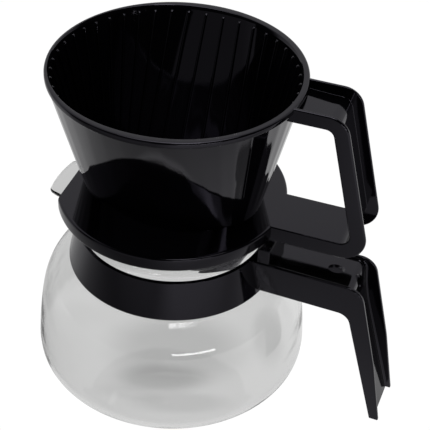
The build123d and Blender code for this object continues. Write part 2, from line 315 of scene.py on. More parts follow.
def cut(ob, cutter, apply_now=True):
    m = ob.modifiers.new("cut", "BOOLEAN")
    m.operation = "DIFFERENCE"
    m.solver = "EXACT"
    m.object = cutter
    dg = bpy.context.evaluated_depsgraph_get()
    me = bpy.data.meshes.new_from_object(ob.evaluated_get(dg))
    ob.modifiers.remove(m)
    old = ob.data
    ob.data = me
    bpy.data.meshes.remove(old)
    bpy.data.objects.remove(cutter)
    return ob


# ------------------------------------------------------------------ camera
EL, DIST, FPX, ROLL, YAW, PIT, TURN = 37.429, 650.0, 1236.30, 1.467, -1.907, 1.310, 21.752


def rot(axis, deg):
    c, s = math.cos(math.radians(deg)), math.sin(math.radians(deg))
    if axis == "x":
        return np.array([[1, 0, 0], [0, c, -s], [0, s, c]])
    if axis == "y":
        return np.array([[c, 0, s], [0, 1, 0], [-s, 0, c]])
    return np.array([[c, -s, 0], [s, c, 0], [0, 0, 1]])


ce, se = math.cos(math.radians(EL)), math.sin(math.radians(EL))
c_fit = np.array([0, -DIST * ce, DIST * se])
fwd = -c_fit / np.linalg.norm(c_fit)
right = np.array([1.0, 0, 0])
R0 = np.stack([right, -np.cross(right, fwd), fwd])
A = rot("z", TURN).T
T = rot("z", ROLL) @ rot("x", PIT) @ rot("y", YAW) @ R0 @ A
c_row = A.T @ c_fit + np.array([0, 0, FL_Z])
cam_data = bpy.data.cameras.new("view_camera")
cam = bpy.data.objects.new("view_camera", cam_data)
bpy.context.scene.collection.objects.link(cam)
cam_data.sensor_width = 36.0
cam_data.sensor_fit = "HORIZONTAL"
cam_data.lens = FPX / 430.0 * 36.0
cam_data.clip_start = 0.01
cam_data.clip_end = 50.0
cam_data.dof.use_dof = False
mw = Matrix.Identity(4)
for i in range(3):
    mw[i][0], mw[i][1], mw[i][2], mw[i][3] = T[0][i], -T[1][i], -T[2][i], c_row[i] * MM
cam.matrix_world = mw
bpy.context.scene.camera = cam


# ------------------------------------------------------------------ materials
def node(nt, kind, **kw):
    n = nt.nodes.new(kind)
    for k, v in kw.items():
        setattr(n, k, v)
    return n


def put(n, name, v):
    n.inputs[name].default_value = v


def plastic(name, base, rough=0.07, seed=0.0, sheen_grain=1.0, spec=0.5, dust=1.0):
    m = bpy.data.materials.new(name)
    m.use_nodes = True
    nt = m.node_tree
    nt.nodes.clear()
    out = node(nt, "ShaderNodeOutputMaterial")
    bs = node(nt, "ShaderNodeBsdfPrincipled")
    nt.links.new(bs.outputs[0], out.inputs[0])
    put(bs, "IOR", 1.5)
    put(bs, "Specular IOR Level", spec)
    put(bs, "Specular Tint", (0.87, 0.83, 1.0, 1.0))
    tc = node(nt, "ShaderNodeTexCoord")
    mp = node(nt, "ShaderNodeMapping")
    mp.inputs["Location"].default_value = (seed, seed * 0.7, seed * 1.3)
    nt.links.new(tc.outputs["Object"], mp.inputs["Vector"])
    # slow colour drift in the resin
    n1 = node(nt, "ShaderNodeTexNoise"); put(n1, "Scale", 38.0); put(n1, "Detail", 4.0); put(n1, "Roughness", 0.55)
    nt.links.new(mp.outputs[0], n1.inputs["Vector"])
    ramp = node(nt, "ShaderNodeValToRGB")
    ramp.color_ramp.elements[0].position = 0.3
    ramp.color_ramp.elements[0].color = (base[0] * 0.8, base[1] * 0.8, base[2] * 0.8, 1)
    ramp.color_ramp.elements[1].position = 0.7
    ramp.color_ramp.elements[1].color = (base[0] * 1.25, base[1] * 1.25, base[2] * 1.3, 1)
    nt.links.new(n1.outputs["Fac"], ramp.inputs[0])
    # dust specks
    vo = node(nt, "ShaderNodeTexVoronoi"); put(vo, "Scale", 420.0); put(vo, "Randomness", 1.0)
    nt.links.new(mp.outputs[0], vo.inputs["Vector"])
    n2 = node(nt, "ShaderNodeTexNoise"); put(n2, "Scale", 160.0); put(n2, "Detail", 2.0)
    nt.links.new(mp.outputs[0], n2.inputs["Vector"])
    mr = node(nt, "ShaderNodeMapRange")
    put(mr, "From Min", 0.02); put(mr, "From Max", 0.075); put(mr, "To Min", 1.0); put(mr, "To Max", 0.0)
    nt.links.new(vo.outputs["Distance"], mr.inputs["Value"])
    mr2 = node(nt, "ShaderNodeMapRange")
    put(mr2, "From Min", 0.60); put(mr2, "From Max", 0.70); put(mr2, "To Min", 0.0); put(mr2, "To Max", 0.35 * dust)
    nt.links.new(n2.outputs["Fac"], mr2.inputs["Value"])
    mul = node(nt, "ShaderNodeMath", operation="MULTIPLY")
    nt.links.new(mr.outputs[0], mul.inputs[0]); nt.links.new(mr2.outputs[0], mul.inputs[1])
    # rubbed edges
    geo = node(nt, "ShaderNodeNewGeometry")
    mr3 = node(nt, "ShaderNodeMapRange")
    put(mr3, "From Min", 0.53); put(mr3, "From Max", 0.62); put(mr3, "To Min", 0.0); put(mr3, "To Max", 0.12)
    nt.links.new(geo.outputs["Pointiness"], mr3.inputs["Value"])
    n5 = node(nt, "ShaderNodeTexNoise"); put(n5, "Scale", 300.0); put(n5, "Detail", 3.0)
    nt.links.new(mp.outputs[0], n5.inputs["Vector"])
    mul5 = node(nt, "ShaderNodeMath", operation="MULTIPLY")
    nt.links.new(mr3.outputs[0], mul5.inputs[0]); nt.links.new(n5.outputs["Fac"], mul5.inputs[1])
    mx = node(nt, "ShaderNodeMix", data_type="RGBA")
    mx.inputs["B"].default_value = (0.10, 0.098, 0.095, 1)
    nt.links.new(ramp.outputs[0], mx.inputs["A"])
    add = node(nt, "ShaderNodeMath", operation="ADD")
    add.use_clamp = True
    nt.links.new(mul.outputs[0], add.inputs[0]); nt.links.new(mul5.outputs[0], add.inputs[1])
    nt.links.new(add.outputs[0], mx.inputs["Factor"])
    nt.links.new(mx.outputs["Result"], bs.inputs["Base Color"])
    # gloss: polished, with faint handling haze and hairline scratches
    n3 = node(nt, "ShaderNodeTexNoise"); put(n3, "Scale", 55.0); put(n3, "Detail", 5.0); put(n3, "Roughness", 0.6)
    nt.links.new(mp.outputs[0], n3.inputs["Vector"])
    mp2 = node(nt, "ShaderNodeMapping")
    mp2.inputs["Rotation"].default_value = (0.4, 0.7, 0.3)
    mp2.inputs["Scale"].default_value = (60.0, 1600.0, 1600.0)
    nt.links.new(tc.outputs["Object"], mp2.inputs["Vector"])
    n4 = node(nt, "ShaderNodeTexNoise"); put(n4, "Scale", 1.0); put(n4, "Detail", 2.0)
    nt.links.new(mp2.outputs[0], n4.inputs["Vector"])
    mr4 = node(nt, "ShaderNodeMapRange")
    put(mr4, "From Min", 0.66); put(mr4, "From Max", 0.74); put(mr4, "To Min", 0.0); put(mr4, "To Max", 0.10)
    nt.links.new(n4.outputs["Fac"], mr4.inputs["Value"])
    mr5 = node(nt, "ShaderNodeMapRange")
    put(mr5, "From Min", 0.35); put(mr5, "From Max", 0.75); put(mr5, "To Min", rough * 0.75); put(mr5, "To Max", rough * 1.6)
    nt.links.new(n3.outputs["Fac"], mr5.inputs["Value"])
    ad = node(nt, "ShaderNodeMath", operation="ADD")
    nt.links.new(mr5.outputs[0], ad.inputs[0]); nt.links.new(mr4.outputs[0], ad.inputs[1])
    nt.links.new(ad.outputs[0], bs.inputs["Roughness"])
    # moulding waviness under a very fine grain
    w1 = node(nt, "ShaderNodeTexNoise"); put(w1, "Scale", 26.0); put(w1, "Detail", 1.0)
    nt.links.new(mp.outputs[0], w1.inputs["Vector"])
    w2 = node(nt, "ShaderNodeTexNoise"); put(w2, "Scale", 1900.0); put(w2, "Detail", 2.0)
    nt.links.new(mp.outputs[0], w2.inputs["Vector"])
    b1 = node(nt, "ShaderNodeBump"); put(b1, "Strength", 1.0); put(b1, "Distance", 0.00022)
    nt.links.new(w1.outputs["Fac"], b1.inputs["Height"])
    b2 = node(nt, "ShaderNodeBump"); put(b2, "Strength", 0.5 * sheen_grain); put(b2, "Distance", 0.000008)
    nt.links.new(w2.outputs["Fac"], b2.inputs["Height"])
    nt.links.new(b1.outputs[0], b2.inputs["Normal"])
    nt.links.new(b2.outputs[0], bs.inputs["Normal"])
    return m


def glass_material(name):
    m = bpy.data.materials.new(name)
    m.use_nodes = True
    nt = m.node_tree
    nt.nodes.clear()
    out = node(nt, "ShaderNodeOutputMaterial")
    bs = node(nt, "ShaderNodeBsdfPrincipled")
    nt.links.new(bs.outputs[0], out.inputs[0])
    put(bs, "Transmission Weight", 1.0)
    put(bs, "IOR", 1.474)
    tc = node(nt, "ShaderNodeTexCoord")
    n0 = node(nt, "ShaderNodeTexNoise"); put(n0, "Scale", 14.0); put(n0, "Detail", 3.0)
    nt.links.new(tc.outputs["Object"], n0.inputs["Vector"])
    ramp = node(nt, "ShaderNodeValToRGB")
    ramp.color_ramp.elements[0].position = 0.35
    ramp.color_ramp.elements[0].color = (0.980, 0.982, 0.980, 1)
    ramp.color_ramp.elements[1].position = 0.65
    ramp.color_ramp.elements[1].color = (0.990, 0.991, 0.989, 1)
    nt.links.new(n0.outputs["Fac"], ramp.inputs[0])
    nt.links.new(ramp.outputs[0], bs.inputs["Base Color"])
    # finger haze and wiping marks in the gloss
    mp = node(nt, "ShaderNodeMapping"); mp.inputs["Scale"].default_value = (40.0, 40.0, 150.0); mp.inputs["Rotation"].default_value = (0.5, 0.2, 0.0)
    nt.links.new(tc.outputs["Object"], mp.inputs["Vector"])
    n1 = node(nt, "ShaderNodeTexNoise"); put(n1, "Scale", 1.0); put(n1, "Detail", 6.0); put(n1, "Roughness", 0.6)
    nt.links.new(mp.outputs[0], n1.inputs["Vector"])
    mr = node(nt, "ShaderNodeMapRange")
    put(mr, "From Min", 0.45); put(mr, "From Max", 0.8); put(mr, "To Min", 0.004); put(mr, "To Max", 0.05)
    nt.links.new(n1.outputs["Fac"], mr.inputs["Value"])
    nt.links.new(mr.outputs[0], bs.inputs["Roughness"])
    # blown glass is never quite even
    mp2 = node(nt, "ShaderNodeMapping"); mp2.inputs["Scale"].default_value = (16.0, 16.0, 34.0)
    nt.links.new(tc.outputs["Object"], mp2.inputs["Vector"])
    w = node(nt, "ShaderNodeTexNoise"); put(w, "Scale", 1.0); put(w, "Detail", 2.0)
    nt.links.new(mp2.outputs[0], w.inputs["Vector"])
    b = node(nt, "ShaderNodeBump"); put(b, "Strength", 1.0); put(b, "Distance", 0.0008)
    nt.links.new(w.outputs["Fac"], b.inputs["Height"])
    nt.links.new(b.outputs[0], bs.inputs["Normal"])
    return m


def steel_material(name):
    m = bpy.data.materials.new(name)
    m.use_nodes = True
    nt = m.node_tree
    nt.nodes.clear()
    out = node(nt, "ShaderNodeOutputMaterial")
    bs = node(nt, "ShaderNodeBsdfPrincipled")
    nt.links.new(bs.outputs[0], out.inputs[0])
    put(bs, "Metallic", 1.0)
    tc = node(nt, "ShaderNodeTexCoord")
    n0 = node(nt, "ShaderNodeTexNoise"); put(n0, "Scale", 300.0); put(n0, "Detail", 4.0)
    nt.links.new(tc.outputs["Object"], n0.inputs["Vector"])
    ramp = node(nt, "ShaderNodeValToRGB")
    ramp.color_ramp.elements[0].position = 0.3
    ramp.color_ramp.elements[0].color = (0.42, 0.41, 0.40, 1)
    ramp.color_ramp.elements[1].position = 0.62
    ramp.color_ramp.elements[1].color = (0.63, 0.63, 0.64, 1)
    nt.links.new(n0.outputs["Fac"], ramp.inputs[0])
    nt.links.new(ramp.outputs[0], bs.inputs["Base Color"])
    mp = node(nt, "ShaderNodeMapping"); mp.inputs["Scale"].default_value = (400.0, 4000.0, 400.0)
    nt.links.new(tc.outputs["Object"], mp.inputs["Vector"])
    n1 = node(nt, "ShaderNodeTexNoise"); put(n1, "Scale", 1.0); put(n1, "Detail", 3.0)
    nt.links.new(mp.outputs[0], n1.inputs["Vector"])
    mr = node(nt, "ShaderNodeMapRange")
    put(mr, "From Min", 0.3); put(mr, "From Max", 0.7); put(mr, "To Min", 0.22); put(mr, "To Max", 0.42)
    nt.links.new(n1.outputs["Fac"], mr.inputs["Value"])
    nt.links.new(mr.outputs[0], bs.inputs["Roughness"])
    b = node(nt, "ShaderNodeBump"); put(b, "Strength", 0.6); put(b, "Distance", 0.00004)
    nt.links.new(n1.outputs["Fac"], b.inputs["Height"])
    nt.links.new(b.outputs[0], bs.inputs["Normal"])
    return m


MAT_CONE = plastic("cone_plastic", (0.0023, 0.0021, 0.0030), rough=0.05, seed=0.11)
MAT_BAND = plastic("band_plastic", (0.0023, 0.0021, 0.0030), rough=0.06, seed=0.47)
MAT_ARM = plastic("arm_plastic", (0.0023, 0.0021, 0.0030), rough=0.06, seed=0.83)
MAT_GLASS = glass_material("carafe_glass")
MAT_STEEL = steel_material("screw_metal")


def finish_piece(ob, body, slot, mat, *nodes_replaced):
    ob.data.materials.clear()
    ob.data.materials.append(mat)
    if nodes_replaced:
        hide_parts(*nodes_replaced)
    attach(ob, body)


# ------------------------------------------------------------------ glass carafe
def smooth01(t):
    t = max(0.0, min(1.0, t))
    return t * t * (3 - 2 * t)


def spout(r, z, a):
    """place of a point of the outside at angle a: blown out-of-round, and the lip drawn out at the spout"""
    d = np.degrees(np.abs(np.arctan2(np.sin(a - math.pi), np.cos(a - math.pi))))
    s01 = lambda t: np.clip(t, 0, 1) ** 2 * (3 - 2 * np.clip(t, 0, 1))
    r = r + 0.10 * np.sin(2 * a + 0.6) * s01((z - 20) / 20) * s01((66 - z) / 20)
    up = np.clip((z - 84.5) / 24.4, 0, 1.05)
    w = 1 - s01((d - 10.7) / 9.3)
    w2 = 1 - s01((d - 12.0) / 30.0)
    return r + 11.3 * w * up ** 1.45, z - 11.6 * w2 * up ** 1.7


WALL_T = 1.35
outer = [(0.0, 1.3), (12.0, 1.28), (30.0, 1.15), (46.0, 0.9), (55.0, 0.55), (59.5, 0.12), (61.5, 0.0)] + spline(BODY + NECK, 6)
outer = np.array([tuple(p) for p in outer])
AZ = np.arange(288) * 2 * math.pi / 288
OR, OZ = np.zeros((len(outer), 288)), np.zeros((len(outer), 288))
for k, (r, z) in enumerate(outer):
    OR[k], OZ[k] = spout(r, z, AZ)
OR[0] = 0.0
dR, dZ = np.gradient(OR, axis=0), np.gradient(OZ, axis=0)
nl = np.hypot(dR, dZ) + 1e-12
# the wall is thin round the body and thickens to the neck and rim
tk = WALL_T + 0.65 * np.clip((outer[:, 1] - 62.0) / 25.0, 0, 1)
IR, IZ = OR - tk[:, None] * dZ / nl, OZ + tk[:, None] * dR / nl
IR[0] = 0.0
rows_r, rows_z = [OR[k] for k in range(len(outer))], [OZ[k] for k in range(len(outer))]
cr, cz = (OR[-1] + IR[-1]) / 2, (OZ[-1] + IZ[-1]) / 2
ur, uz = OR[-1] - IR[-1], OZ[-1] - IZ[-1]
hl = np.hypot(ur, uz) / 2
ur, uz = ur / (2 * hl), uz / (2 * hl)
for t in np.linspace(-0.25, math.pi + 0.25, 13):          # fire-polished bead on the rim
    rows_r.append(cr + hl * 1.2 * (ur * math.cos(t) - uz * math.sin(t)) - uz * 1.2)
    rows_z.append(cz + hl * 1.2 * (uz * math.cos(t) + ur * math.sin(t)) + ur * 1.2)
rows_r += [IR[k] for k in range(len(outer) - 1, -1, -1)]
rows_z += [IZ[k] for k in range(len(outer) - 1, -1, -1)]
LOW = lambda z: 0.5 * (1 - smooth01((z - 38) / 20.0))
verts, faces, idr = [], [], []
for R, Z in zip(rows_r, rows_z):
    if R.max() < 1e-6:
        idr.append([len(verts)] * 288)
        verts.append((LOW(0), 0, float(Z[0])))
        continue
    base = len(verts)
    idr.append([base + k for k in range(288)])
    for k in range(288):
        verts.append((R[k] * math.cos(AZ[k]) + LOW(float(Z[k])), R[k] * math.sin(AZ[k]), float(min(Z[k], 108.85))))
for a_, b_ in zip(idr[:-1], idr[1:]):
    for k in range(288):
        j = (k + 1) % 288
        f = [a_[k], b_[k], b_[j], a_[j]]
        g = []
        for i in f:
            if i not in g:
                g.append(i)
        if len(g) > 2:
            faces.append(tuple(g))
glass = make("carafe_glass_body", verts, faces)
finish_piece(glass, "carafe", "clear_glass", MAT_GLASS, "glass_carafe")


# ------------------------------------------------------------------ filter cone
def sec_at(z):
    t = (z - FL_Z) / CONE_H
    return C_FL + (C_TOP - C_FL) * t, R_FL + (R_TOP - R_FL) * t


TH3 = math.tanh(3.0)


def sec_pt(c, r, th):
    ct, st = np.cos(th), np.sin(th)
    return c * np.tanh(3 * ct) / TH3 + r * ct, r * st


TILT = math.hypot(1, (R_TOP - R_FL) / CONE_H)
INSET = WALL * TILT
PROFILE = [(-1.25, 0.0), (-0.72, 0.06), (-0.55, 0.5), (-0.42, 0.95), (-0.18, 1.12), (0.18, 1.12), (0.42, 0.95), (0.55, 0.5), (0.72, 0.06), (1.25, 0.0)]
MIDS = 3
COLS = RIB_N * (len(PROFILE) + MIDS)


def columns(c, r, ribs):
    """angles and rib heights of every column at one height"""
    th, h = [], []
    step = 2 * math.pi / RIB_N
    for i in range(RIB_N):
        a = (i + 0.5) * step
        e = 1e-3
        x0, y0 = sec_pt(c, r, a - e)
        x1, y1 = sec_pt(c, r, a + e)
        g = math.hypot(x1 - x0, y1 - y0) / (2 * e)
        k = min(1.0, 0.30 * step * g / 1.25)
        for d, hh in PROFILE:
            th.append(a + d * k / g)
            h.append(hh)
        b = (i + 1.5) * step
        x0, y0 = sec_pt(c, r, b - e)
        x1, y1 = sec_pt(c, r, b + e)
        g2 = math.hypot(x1 - x0, y1 - y0) / (2 * e)
        k2 = min(1.0, 0.30 * step * g2 / 1.25)
        s, t = a + 1.25 * k / g, b - 1.25 * k2 / g2
        for j in range(1, MIDS + 1):
            th.append(s + (t - s) * j / (MIDS + 1))
            h.append(0.0)
    return np.array(th), np.array(h)


rows = []          # each row: array (COLS, 3)
NARROW = columns(20.0, 25.0, True)


def ring(c, r, z, wave=0.0, rib=0.0, ox=None):
    cc, rr = (c, r)
    ox = BODY_X if ox is None else ox
    th, h = columns(max(cc, 0.3), rr, True)
    x, y = sec_pt(cc, rr, th)
    n = np.stack([np.cos(th), np.sin(th)], 1)
    d = -h * rib
    if wave:
        end = np.clip((np.abs(np.cos(th)) - 0.45) / 0.4, 0, 1)
        d = d + wave * (0.25 + 1.35 * end) * np.cos(RIB_N * (th - math.pi / RIB_N))
    return np.stack([ox + x + n[:, 0] * d, y + n[:, 1] * d, np.full(len(th), z)], 1)


BOWL = sorted((o["box_m"] for o in frame["record"]["physics"]["openings"] if o["name"].startswith("cone_bowl")), key=lambda q: q[0][2])


def least_k(z):
    """least y scale that keeps the ribbed inner wall outside the openings the record states"""
    c, r = sec_at(z)
    tt = np.linspace(0.0, math.pi / 2, 600)
    sx, sy = sec_pt(c, r - INSET - 1.25, tt)
    a, k = -math.radians(CONE_TURN), 0.0
    for n, (lo, hi) in enumerate(BOWL):
        if z > hi[2] / MM + 0.3 or (n and z < lo[2] / MM - 0.3):
            continue
        for xc in (lo[0] / MM, hi[0] / MM):
            for yc in (lo[1] / MM, hi[1] / MM):
                xr = xc * math.cos(a) - yc * math.sin(a) - BODY_X
                yr = xc * math.sin(a) + yc * math.cos(a)
                k = max(k, (abs(yr) + 0.25) / max(0.5, float(np.interp(abs(xr), sx[::-1], sy[::-1]))))
    return min(1.0, k)


Z_STEP = BOWL[-1][0][2] / MM
LEAN = min(0.200, max(0.0, (sec_at(Z_STEP)[1] - INSET) * (1.0 - least_k(Z_STEP)) / (Z_RIM - 4.0 - Z_STEP)))


def wedge(z, r):
    """the two long inner walls lean in a little more than the outside, as far as the openings allow"""
    y = r - INSET
    return np.array([1.0, max((y - LEAN * max(0.0, Z_RIM - 4.0 - z)) / y, least_k(z)) if z < Z_RIM - 4.0 else 1.0, 1.0])


# outside, foot to rim
c0, r0 = sec_at(CONE_BOT_Z)
for ins, dz in ((1.2, 0.0), (0.6, 0.1), (0.2, 0.45), (0.0, 1.1)):
    c, r = sec_at(CONE_BOT_Z + dz)
    rows.append(ring(c, r - ins, CONE_BOT_Z + dz))
for z in np.linspace(CONE_BOT_Z + 3, FL_Z - 1.5, 8):
    c, r = sec_at(z)
    rows.append(ring(c, r, z))
for z in np.linspace(FL_Z + 0.4, Z_RIM - 3.2, 30):
    c, r = sec_at(z)
    w = 0.045 * smooth01((z - FL_Z - 2) / 16)
    rows.append(ring(c, r, z, wave=w))
c, r = sec_at(Z_RIM - 3.05)
for rr, dz in ((64.55, -3.0), (64.8, -2.9), (64.95, -2.65), (65.0, -2.2), (65.0, -1.0), (64.8, -0.45), (64.45, -0.12), (64.0, 0.0), (63.4, 0.0)):
    rows.append(ring(0.0, rr, Z_RIM + dz, ox=0.0))
ci, ri = sec_at(Z_RIM)
for f, ins, dz in ((0.75, -0.9, -0.02), (1.0, -0.35, -0.18), (1.0, -0.08, -0.55)):
    rows.append(ring(ci * f, ri - INSET - ins, Z_RIM + dz))
z_top, z_bot = Z_RIM - 2.6, CONE_BOT_Z + 6.0
zs = [Z_RIM - 1.2, Z_RIM - 1.9, Z_RIM - 2.4, z_top, z_top - 0.12, z_top - 0.35, z_top - 0.7, z_top - 1.2, z_top - 2.2]
zs += list(np.linspace(z_top - 5, z_bot + 5, 44)) + [z_bot + 2.5, z_bot + 1.4, z_bot + 0.8, z_bot + 0.4, z_bot + 0.1, z_bot]
for z in zs:
    c, r = sec_at(z)
    up = max(0.0, min(1.0, (z_top - z) / 1.2))
    dn = max(0.0, min(1.0, (z - z_bot) / 1.4))
    k = math.sqrt(max(0.0, 1 - (1 - up) ** 2)) * math.sqrt(max(0.0, 1 - (1 - dn) ** 2))
    rows.append(ring(c, r - INSET, z, rib=k) * wedge(z, r))
zf = CONE_BOT_Z + 2.6
for ins, dz in ((0.0, 2.2), (0.25, 1.2), (0.8, 0.45), (1.6, 0.08), (2.4, 0.0)):
    c, r = sec_at(zf + dz)
    rows.append(ring(c, r - INSET - ins, zf + dz) * wedge(zf + dz, r))
cb, rb = sec_at(zf)
for f in (0.75, 0.5, 0.25):
    c, r = cb * f, DRIP_R + (rb - INSET - 2.4 - DRIP_R) * f
    rows.append(ring(c, r, zf - (1 - f) * 0.5) * (1 + (wedge(zf, rb) - 1) * f))
rows.append(ring(0.0, DRIP_R + 0.3, zf - 0.6))
rows.append(ring(0.0, DRIP_R, zf - 0.9))
rows.append(ring(0.0, DRIP_R, CONE_BOT_Z + 0.3))
rows.append(ring(0.0, DRIP_R + 0.3, CONE_BOT_Z))
for f in (0.33, 0.66):
    rows.append(ring(c0 * f, DRIP_R + (r0 - 1.2 - DRIP_R) * f, CONE_BOT_Z))
V = np.concatenate(rows)
nr = len(rows)
idx = np.arange(nr * COLS).reshape(nr, COLS)
q = []
for i in range(nr):
    a, b = idx[i], idx[(i + 1) % nr]
    q.append(np.stack([a, np.roll(a, -1), np.roll(b, -1), b], 1))
F = np.concatenate(q)
cone_body = make("cone_shell", V, [tuple(int(x) for x in f) for f in F])

# flange with its turned-down skirt
fl_prof = ([(18.0, FL_Z), (40.0, FL_Z), (52.0, FL_Z), (58.6, FL_Z)]
           + [(59.3, FL_Z + 0.02), (59.75, FL_Z - 0.08), (60.15, FL_Z - 0.35), (60.42, FL_Z - 0.8), (60.5, FL_Z - 1.4)]
           + [(60.5, FL_Z - 3.6), (60.48, FL_Z - 5.4)]
           + [(60.4, FL_Z1 + 0.6), (60.3, FL_Z1 + 0.2), (60.05, FL_Z1), (59.5, FL_Z1), (59.2, FL_Z1 + 0.2), (59.05, FL_Z1 + 0.6)]
           + [(59.0, FL_Z1 + 2.2), (58.9, FL_Z - FL_T - 0.5), (58.4, FL_Z - FL_T)]
           + [(52.0, FL_Z - FL_T), (40.0, FL_Z - FL_T), (18.0, FL_Z - FL_T)])
flange = lathe("flange_blank", fl_prof, 300, closed_profile=True)
bm = bmesh.new()
bmesh.ops.create_cube(bm, size=1.0)
for v in bm.verts:
    v.co = Vector((CHORD_X * MM - 0.02 + v.co.x * 0.04, v.co.y * 0.2, (FL_Z - 4) * MM + v.co.z * 0.03))
me = bpy.data.meshes.new("chord_cut")
bm.to_mesh(me)
bm.free()
cutter = bpy.data.objects.new("chord_cut", me)
bpy.context.scene.collection.objects.link(cutter)
flange.data.transform(Matrix.Translation((FL_X * MM, FL_Y * MM, 0)))
cut(flange, cutter)
# the plate stops inside the cone's wall, so the bowl is open right down to its floor
bm = bmesh.new()
ends = []
for z in (FL_Z - FL_T - 3.0, FL_Z + 3.0):
    c, r = sec_at(z)
    x, y = sec_pt(c, r - INSET * 0.5, np.linspace(0.0, 2 * math.pi, 240, endpoint=False))
    ends.append([bm.verts.new(((BODY_X + float(p)) * MM, float(q_) * MM, z * MM)) for p, q_ in zip(x, y)])
bm.faces.new(list(reversed(ends[0])))
bm.faces.new(ends[1])
for i in range(240):
    j = (i + 1) % 240
    bm.faces.new((ends[0][i], ends[0][j], ends[1][j], ends[1][i]))
me = bpy.data.meshes.new("bowl_cut")
bm.to_mesh(me)
bm.free()
cutter = bpy.data.objects.new("bowl_cut", me)
bpy.context.scene.collection.objects.link(cutter)
cut(flange, cutter)
flange.data.shade_smooth()


# loop handle of the cone: channel section carried along its line
def loop_section(d, dw):
    w, t = LOOP_W, LOOP_T
    poly = [(-w, d), (-w + t, d), (-w + t, dw), (w - t, dw), (w - t, d), (w, d), (w, 0.0), (-w, 0.0)]
    rad = [1.0, 0.55, 0.5, 0.5, 0.55, 1.0, 0.8, 0.8]
    return rounded(poly, rad, 4)


def line_pts(pts):
    return corner_path(pts, 12, 14)


Pi, Pw, Po = (np.array(line_pts(p)) for p in (LOOP_IN, LOOP_WEB, LOOP_OUT))
verts, faces = [], []
nsec = None
for k in range(len(Po)):
    u = Po[k] - Pi[k]
    d = np.linalg.norm(u)
    u = u / d
    dw = float((Pw[k] - Pi[k]) @ u)
    dw = max(1.9, min(dw, d - 2.2))
    sec = loop_section(d, dw)
    nsec = len(sec)
    for y, s in sec:
        x, z = Pi[k] + u * s
        verts.append([x, y, z])
verts = np.array(verts)
n_path = len(Po)
# the first sections start inside the cone's wall, the last inside the flange edge
L_first = 13
for k in range(0, L_first):
    f = k / (L_first - 1)
    for j in range(nsec):
        i = k * nsec + j
        x, y, z = verts[i]
        c, r = sec_at(z)
        y += LOOP_Y
        xs = BODY_X + c + math.sqrt((r - 1.1) ** 2 - y * y)
        xe = verts[(L_first - 1) * nsec + j][0]
        verts[i][0] = xs + (xe - xs) * f
for k in range(n_path - 13, n_path):
    f = (n_path - 1 - k) / 12
    for j in range(nsec):
        i = k * nsec + j
        x, y, z = verts[i]
        y += LOOP_Y
        xs = FL_X + math.sqrt(56.8 ** 2 - (y - FL_Y) ** 2)
        xe = verts[(n_path - 13) * nsec + j][0]
        verts[i][0] = xs + (xe - xs) * f
        if z > 111.5:
            verts[i][2] += 0.03
        elif z < 109.0:
            # under the flange the section tucks up inside the skirt
            xk = FL_X + math.sqrt(59.9 ** 2 - (y - FL_Y) ** 2)
            verts[i][0] = xk + (xe - xk) * f
for k in range(n_path - 1):
    for j in range(nsec):
        l = (j + 1) % nsec
        faces.append((k * nsec + j, k * nsec + l, (k + 1) * nsec + l, (k + 1) * nsec + j))
faces.append(tuple(range(nsec)))
faces.append(tuple((n_path - 1) * nsec + j for j in range(nsec)))
loop = make("loop_blank", verts, faces)
loop.data.transform(Matrix.Translation((0, LOOP_Y * MM, 0)))
filter_cone = join("filter_cone_visual", [cone_body, flange, loop])
filter_cone.data.transform(Matrix.Rotation(math.radians(CONE_TURN), 4, "Z"))
even_normals(filter_cone, 40)
finish_piece(filter_cone, "cone", "black_cone", MAT_CONE, "filter_cone")

# ------------------------------------------------------------------ collar band
kk = (COL_R1 - COL_R0) / (COL_Z1 - COL_Z0)
cp = rounded([(COL_R0, COL_Z0), (COL_R1, COL_Z1), (COL_R1 - COL_T + 0.05, COL_Z1), (COL_R0 - COL_T + 0.05, COL_Z0)], [0.5, 0.6, 0.25, 0.25], 4)
SEG = 240
a0 = math.asin(1.2 / 54.0)
verts, faces = [], []
npf = len(cp)
for k in range(SEG + 1):
    a = a0 + (2 * math.pi - 2 * a0) * k / SEG
    for r, z in cp:
        verts.append((r * math.cos(a), r * math.sin(a), z))
for k in range(SEG):
    for j in range(npf):
        l = (j + 1) % npf
        faces.append((k * npf + j, k * npf + l, (k + 1) * npf + l, (k + 1) * npf + j))
faces.append(tuple(range(npf)))
faces.append(tuple(SEG * npf + j for j in range(npf)))
band = make("band_ring", verts, faces)
lug_a = soft_box("lug_a", (51.8, 1.2, 70.7), (63.0, 4.8, 83.1), 0.5)
lug_b = soft_box("lug_b", (51.8, -4.8, 70.7), (63.0, -1.2, 83.1), 0.5)
band = join("collar_band_visual", [band, lug_a, lug_b])
even_normals(band, 40)
finish_piece(band, "carafe", "black_band", MAT_BAND, "collar_band")


# ------------------------------------------------------------------ carafe handle
def start_on_band(ob, inset=1.0):
    for v in ob.data.vertices:
        if v.co.x < 48.5 * MM:
            y, z = v.co.y / MM, v.co.z / MM
            r = COL_R0 + kk * (z - COL_Z0) - inset
            v.co.x = math.sqrt(r * r - y * y) * MM


arm_loop = corner_path(ARM_LINE, 3, 14, closed=True)
rail_a = slab("rail_a", arm_loop, -ARM_W, -ARM_W + RAIL_T, 0.7, 0.5)
rail_b = slab("rail_b", arm_loop, ARM_W, ARM_W - RAIL_T, 0.7, 0.5)
web_loop = corner_path(WEB_LINE, 3, 12, closed=True)
web = slab("arm_web", web_loop, -ARM_W + 1.2, ARM_W - 1.2, 0.0, 0.0)
for o in (rail_a, rail_b, web):
    start_on_band(o)


